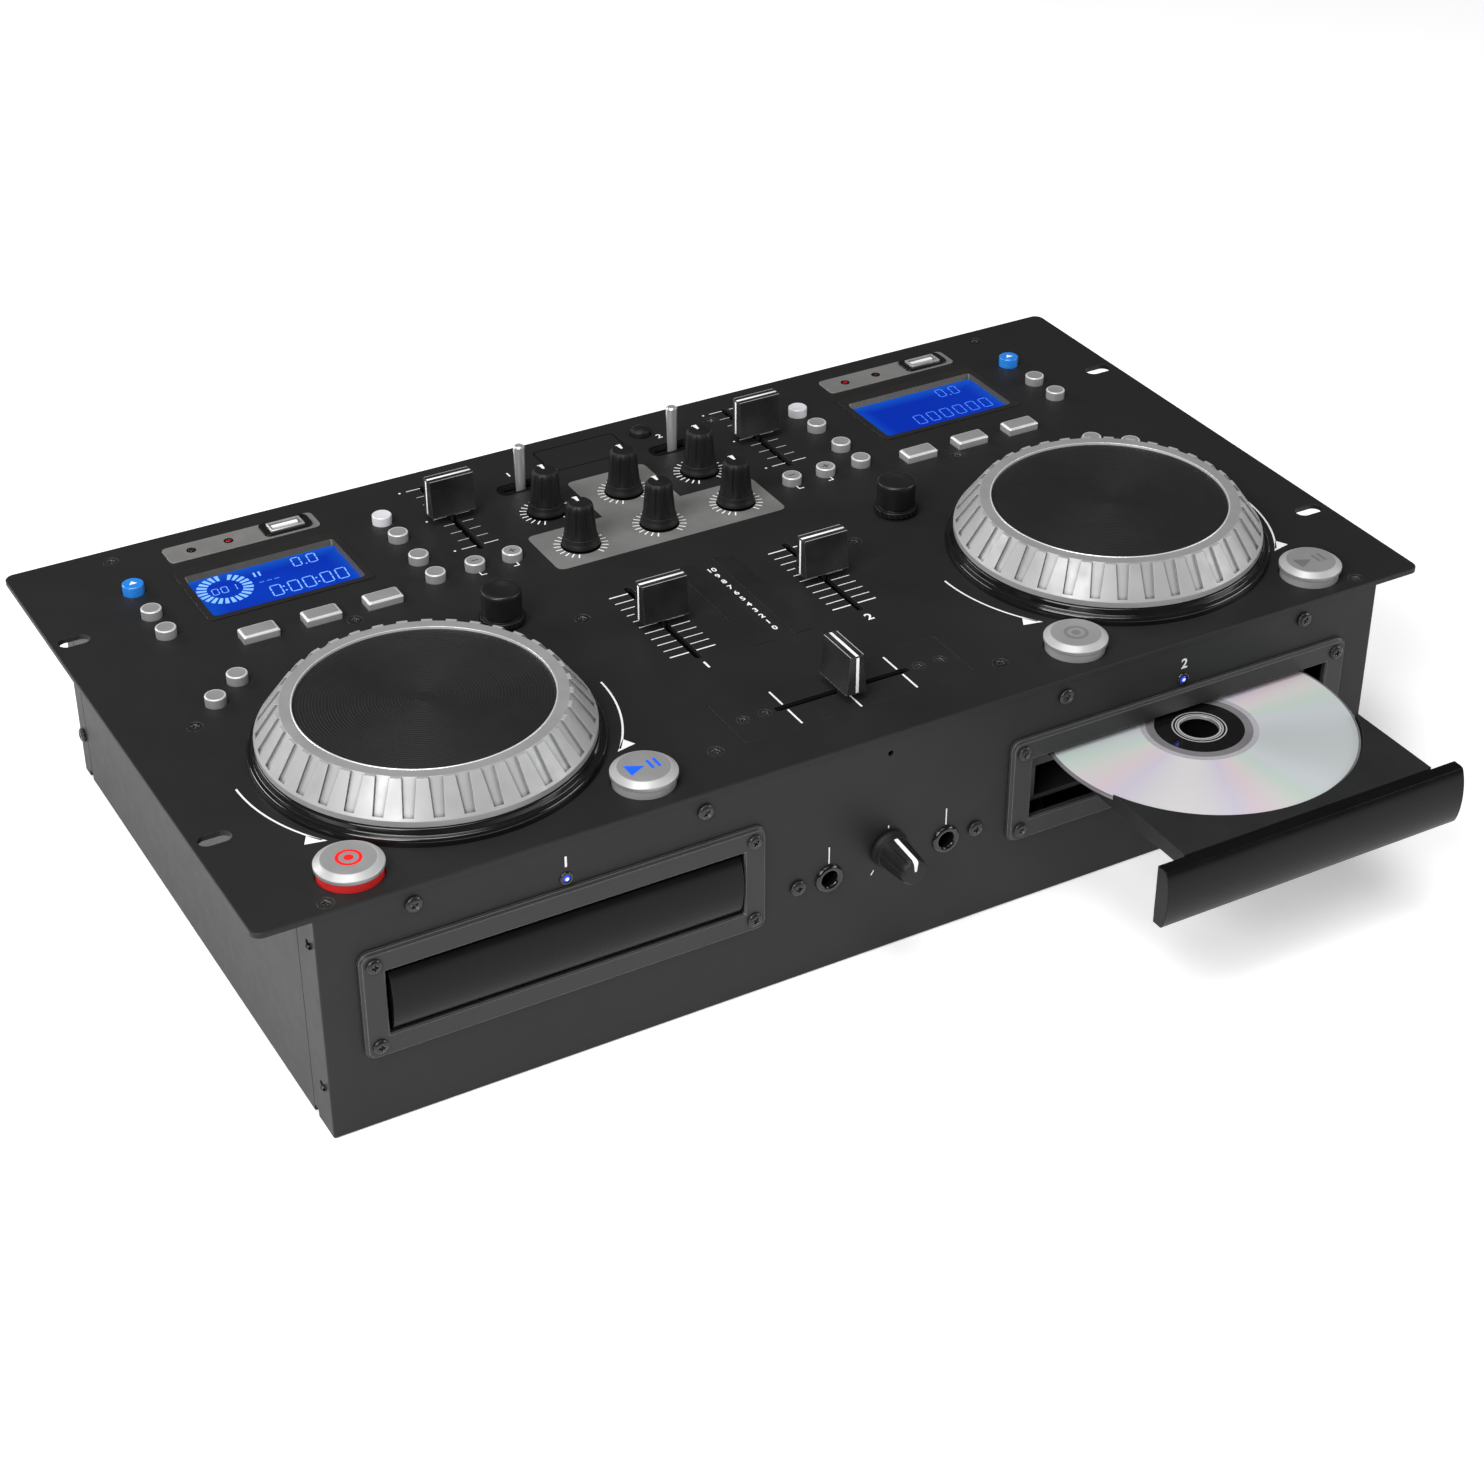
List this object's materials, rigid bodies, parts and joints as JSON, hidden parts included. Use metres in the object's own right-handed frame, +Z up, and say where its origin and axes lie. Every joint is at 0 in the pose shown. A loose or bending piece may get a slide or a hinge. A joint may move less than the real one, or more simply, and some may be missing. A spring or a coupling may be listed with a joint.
{
  "type": "dual disc player and mixer",
  "caption": "Rack-width black console with two sliding disc trays, two jog wheels, faders, knobs and buttons for mixing.",
  "frame": {"origin": "on the underside, midway between the sides and midway along the top panel's depth", "axes": "+X to the right of a person facing the front, +Y to the rear, +Z up out of the top panel"},
  "size_m": [0.4826, 0.3547, 0.1148],
  "materials": {
    "panel_paint": "fine-textured black satin paint",
    "sheet_paint": "satin black paint",
    "bezel_plastic": "satin dark grey plastic",
    "window": "dark frame round a blue-lit display",
    "usb_metal": "satin silver-grey metal",
    "base_gloss": "gloss black plastic",
    "wheel": "satin silver rim round a black grooved top",
    "plate_paint": "black satin paint",
    "jack_plastic": "black plastic with a silver nut",
    "loader": "black moulded plastic",
    "mechanism": "zinc-plated steel",
    "board": "green circuit board",
    "control_body": "bare metal cans",
    "supply": "board with a wound transformer and capacitors",
    "socket_plastic": "black plastic",
    "screw": "blackened steel",
    "led": "clear-cased indicator lights",
    "tray_gloss": "fine-grained black plastic",
    "cover_gloss": "satin-gloss black plastic",
    "disc": "iridescent silver disc with a clear hub",
    "cap_gloss": "gloss black with white lines",
    "knob_rubber": "soft black fluted rubber with a white pointer",
    "encoder_plastic": "satin black plastic",
    "toggle_chrome": "polished chrome",
    "button_silver": "silver-lacquered plastic",
    "button_blue": "blue-lit plastic",
    "button_clear": "translucent white plastic",
    "dome_black": "gloss black plastic"
  },
  "bodies": {
    "console": {"top_panel": "panel_paint", "chassis_tray": "sheet_paint", "front_panel": "sheet_paint", "rear_panel": "sheet_paint", "tray_bezels": "bezel_plastic", "display_windows": "window", "usb_plates": "usb_metal", "jog_bases": "base_gloss", "crossfader_plate": "plate_paint", "front_jacks": "jack_plastic", "loader_frames": "loader", "drive_decks": "mechanism", "circuit_boards": "board", "mixer_controls": "control_body", "power_supply": "supply", "rear_sockets": "socket_plastic", "screws": "screw", "indicator_leds": "led"},
    "tray_unit_a": {"tray_a": "tray_gloss", "tray_cover_a": "cover_gloss"},
    "tray_unit_b": {"tray_b": "tray_gloss", "tray_cover_b": "cover_gloss", "disc": "disc"},
    "jog_a": {"jog_wheel_a": "wheel"},
    "jog_b": {"jog_wheel_b": "wheel"},
    "pitch_a": {"pitch_fader_a": "cap_gloss"},
    "pitch_b": {"pitch_fader_b": "cap_gloss"},
    "channel_a": {"channel_fader_a": "cap_gloss"},
    "channel_b": {"channel_fader_b": "cap_gloss"},
    "cross": {"crossfader": "cap_gloss"},
    "lever_a": {"toggle_a": "toggle_chrome"},
    "lever_b": {"toggle_b": "toggle_chrome"},
    "browse_a": {"encoder_a": "encoder_plastic"},
    "browse_b": {"encoder_b": "encoder_plastic"},
    "mic_control": {"mic_knob": "knob_rubber"},
    "master_control": {"master_knob": "knob_rubber"},
    "cue_level_control": {"cue_level_knob": "knob_rubber"},
    "low_control": {"low_knob": "knob_rubber"},
    "mid_control": {"mid_knob": "knob_rubber"},
    "high_control": {"high_knob": "knob_rubber"},
    "cue_mix_control": {"cue_mix_knob": "knob_rubber"},
    "rocker": {"power_rocker": "socket_plastic"},
    "play_button_a_keys": {"play_button_a": "button_silver"},
    "cue_button_a_keys": {"cue_button_a": "button_silver"},
    "eject_button_a_keys": {"eject_button_a": "button_blue"},
    "loop_buttons_a_keys": {"loop_buttons_a": "button_silver"},
    "mode_buttons_a_keys": {"mode_buttons_a": "button_silver"},
    "outer_buttons_a_keys": {"outer_buttons_a": "button_silver"},
    "bend_buttons_a_keys": {"bend_buttons_a": "button_silver"},
    "pitch_button_a_keys": {"pitch_button_a": "button_clear"},
    "play_button_b_keys": {"play_button_b": "button_silver"},
    "cue_button_b_keys": {"cue_button_b": "button_silver"},
    "eject_button_b_keys": {"eject_button_b": "button_blue"},
    "loop_buttons_b_keys": {"loop_buttons_b": "button_silver"},
    "mode_buttons_b_keys": {"mode_buttons_b": "button_silver"},
    "outer_buttons_b_keys": {"outer_buttons_b": "button_silver"},
    "bend_buttons_b_keys": {"bend_buttons_b": "button_silver"},
    "pitch_button_b_keys": {"pitch_button_b": "button_clear"},
    "dome_key": {"dome_button": "dome_black"}
  },
  "joints": [
    {"name": "tray_a_slide", "type": "slide", "parent": "console", "child": "tray_unit_a", "axis": [0, -1, 0], "range_m": [0, 0.134]},
    {"name": "tray_b_slide", "type": "slide", "parent": "console", "child": "tray_unit_b", "axis": [0, -1, 0], "range_m": [-0.0815, 0.0525]},
    {"name": "jog_a_spin", "type": "hinge", "parent": "console", "child": "jog_a", "pos_m": [-0.146, -0.056, 0.0945], "axis": [0, 0, 1], "continuous": true},
    {"name": "jog_b_spin", "type": "hinge", "parent": "console", "child": "jog_b", "pos_m": [0.146, -0.056, 0.0945], "axis": [0, 0, 1], "continuous": true},
    {"name": "pitch_a_slide", "type": "slide", "parent": "console", "child": "pitch_a", "axis": [0, 1, 0], "range_m": [-0.026, 0.026]},
    {"name": "pitch_b_slide", "type": "slide", "parent": "console", "child": "pitch_b", "axis": [0, 1, 0], "range_m": [-0.026, 0.026]},
    {"name": "channel_a_slide", "type": "slide", "parent": "console", "child": "channel_a", "axis": [0, 1, 0], "range_m": [-0.026, 0.026]},
    {"name": "channel_b_slide", "type": "slide", "parent": "console", "child": "channel_b", "axis": [0, 1, 0], "range_m": [-0.026, 0.026]},
    {"name": "crossfader_slide", "type": "slide", "parent": "console", "child": "cross", "axis": [1, 0, 0], "range_m": [-0.024, 0.024]},
    {"name": "toggle_a_tilt", "type": "hinge", "parent": "console", "child": "lever_a", "pos_m": [-0.035, 0.099, 0.089], "axis": [0, 1, 0], "range_deg": [-12, 12]},
    {"name": "toggle_b_tilt", "type": "hinge", "parent": "console", "child": "lever_b", "pos_m": [0.035, 0.099, 0.089], "axis": [0, 1, 0], "range_deg": [-12, 12]},
    {"name": "encoder_a_spin", "type": "hinge", "parent": "console", "child": "browse_a", "pos_m": [-0.0872, 0.0065, 0.0945], "axis": [0, 0, 1], "continuous": true},
    {"name": "encoder_b_spin", "type": "hinge", "parent": "console", "child": "browse_b", "pos_m": [0.0872, 0.0065, 0.0945], "axis": [0, 0, 1], "continuous": true},
    {"name": "mic_knob_turn", "type": "hinge", "parent": "console", "child": "mic_control", "pos_m": [-0.035, 0.075, 0.0945], "axis": [0, 0, -1], "range_deg": [-150, 150]},
    {"name": "master_knob_turn", "type": "hinge", "parent": "console", "child": "master_control", "pos_m": [0, 0.075, 0.0945], "axis": [0, 0, -1], "range_deg": [-150, 150]},
    {"name": "cue_level_knob_turn", "type": "hinge", "parent": "console", "child": "cue_level_control", "pos_m": [0.035, 0.075, 0.0945], "axis": [0, 0, -1], "range_deg": [-150, 150]},
    {"name": "low_knob_turn", "type": "hinge", "parent": "console", "child": "low_control", "pos_m": [-0.035, 0.0445, 0.0945], "axis": [0, 0, -1], "range_deg": [-150, 150]},
    {"name": "mid_knob_turn", "type": "hinge", "parent": "console", "child": "mid_control", "pos_m": [0, 0.0445, 0.0945], "axis": [0, 0, -1], "range_deg": [-150, 150]},
    {"name": "high_knob_turn", "type": "hinge", "parent": "console", "child": "high_control", "pos_m": [0.035, 0.0445, 0.0945], "axis": [0, 0, -1], "range_deg": [-150, 150]},
    {"name": "cue_mix_knob_turn", "type": "hinge", "parent": "console", "child": "cue_mix_control", "pos_m": [0, -0.131, 0.045], "axis": [0, 1, 0], "range_deg": [-150, 150]},
    {"name": "power_rocker_tilt", "type": "hinge", "parent": "console", "child": "rocker", "pos_m": [0.19, 0.1235, 0.04], "axis": [0, 0, 1], "range_deg": [-7, 7]},
    {"name": "play_button_a_press", "type": "slide", "parent": "console", "child": "play_button_a_keys", "axis": [0, 0, -1], "range_m": [0, 0.0008], "stiffness_N_per_m": 800, "springref_m": -0.0006},
    {"name": "cue_button_a_press", "type": "slide", "parent": "console", "child": "cue_button_a_keys", "axis": [0, 0, -1], "range_m": [0, 0.0008], "stiffness_N_per_m": 800, "springref_m": -0.0006},
    {"name": "eject_button_a_press", "type": "slide", "parent": "console", "child": "eject_button_a_keys", "axis": [0, 0, -1], "range_m": [0, 0.0008], "stiffness_N_per_m": 800, "springref_m": -0.0006},
    {"name": "loop_buttons_a_press", "type": "slide", "parent": "console", "child": "loop_buttons_a_keys", "axis": [0, 0, -1], "range_m": [0, 0.0008], "stiffness_N_per_m": 800, "springref_m": -0.0006},
    {"name": "mode_buttons_a_press", "type": "slide", "parent": "console", "child": "mode_buttons_a_keys", "axis": [0, 0, -1], "range_m": [0, 0.0008], "stiffness_N_per_m": 800, "springref_m": -0.0006},
    {"name": "outer_buttons_a_press", "type": "slide", "parent": "console", "child": "outer_buttons_a_keys", "axis": [0, 0, -1], "range_m": [0, 0.0008], "stiffness_N_per_m": 800, "springref_m": -0.0006},
    {"name": "bend_buttons_a_press", "type": "slide", "parent": "console", "child": "bend_buttons_a_keys", "axis": [0, 0, -1], "range_m": [0, 0.0008], "stiffness_N_per_m": 800, "springref_m": -0.0006},
    {"name": "pitch_button_a_press", "type": "slide", "parent": "console", "child": "pitch_button_a_keys", "axis": [0, 0, -1], "range_m": [0, 0.0008], "stiffness_N_per_m": 800, "springref_m": -0.0006},
    {"name": "play_button_b_press", "type": "slide", "parent": "console", "child": "play_button_b_keys", "axis": [0, 0, -1], "range_m": [0, 0.0008], "stiffness_N_per_m": 800, "springref_m": -0.0006},
    {"name": "cue_button_b_press", "type": "slide", "parent": "console", "child": "cue_button_b_keys", "axis": [0, 0, -1], "range_m": [0, 0.0008], "stiffness_N_per_m": 800, "springref_m": -0.0006},
    {"name": "eject_button_b_press", "type": "slide", "parent": "console", "child": "eject_button_b_keys", "axis": [0, 0, -1], "range_m": [0, 0.0008], "stiffness_N_per_m": 800, "springref_m": -0.0006},
    {"name": "loop_buttons_b_press", "type": "slide", "parent": "console", "child": "loop_buttons_b_keys", "axis": [0, 0, -1], "range_m": [0, 0.0008], "stiffness_N_per_m": 800, "springref_m": -0.0006},
    {"name": "mode_buttons_b_press", "type": "slide", "parent": "console", "child": "mode_buttons_b_keys", "axis": [0, 0, -1], "range_m": [0, 0.0008], "stiffness_N_per_m": 800, "springref_m": -0.0006},
    {"name": "outer_buttons_b_press", "type": "slide", "parent": "console", "child": "outer_buttons_b_keys", "axis": [0, 0, -1], "range_m": [0, 0.0008], "stiffness_N_per_m": 800, "springref_m": -0.0006},
    {"name": "bend_buttons_b_press", "type": "slide", "parent": "console", "child": "bend_buttons_b_keys", "axis": [0, 0, -1], "range_m": [0, 0.0008], "stiffness_N_per_m": 800, "springref_m": -0.0006},
    {"name": "pitch_button_b_press", "type": "slide", "parent": "console", "child": "pitch_button_b_keys", "axis": [0, 0, -1], "range_m": [0, 0.0008], "stiffness_N_per_m": 800, "springref_m": -0.0006},
    {"name": "dome_button_press", "type": "slide", "parent": "console", "child": "dome_key", "axis": [0, 0, -1], "range_m": [0, 0.0008], "stiffness_N_per_m": 800, "springref_m": -0.0006}
  ]
}
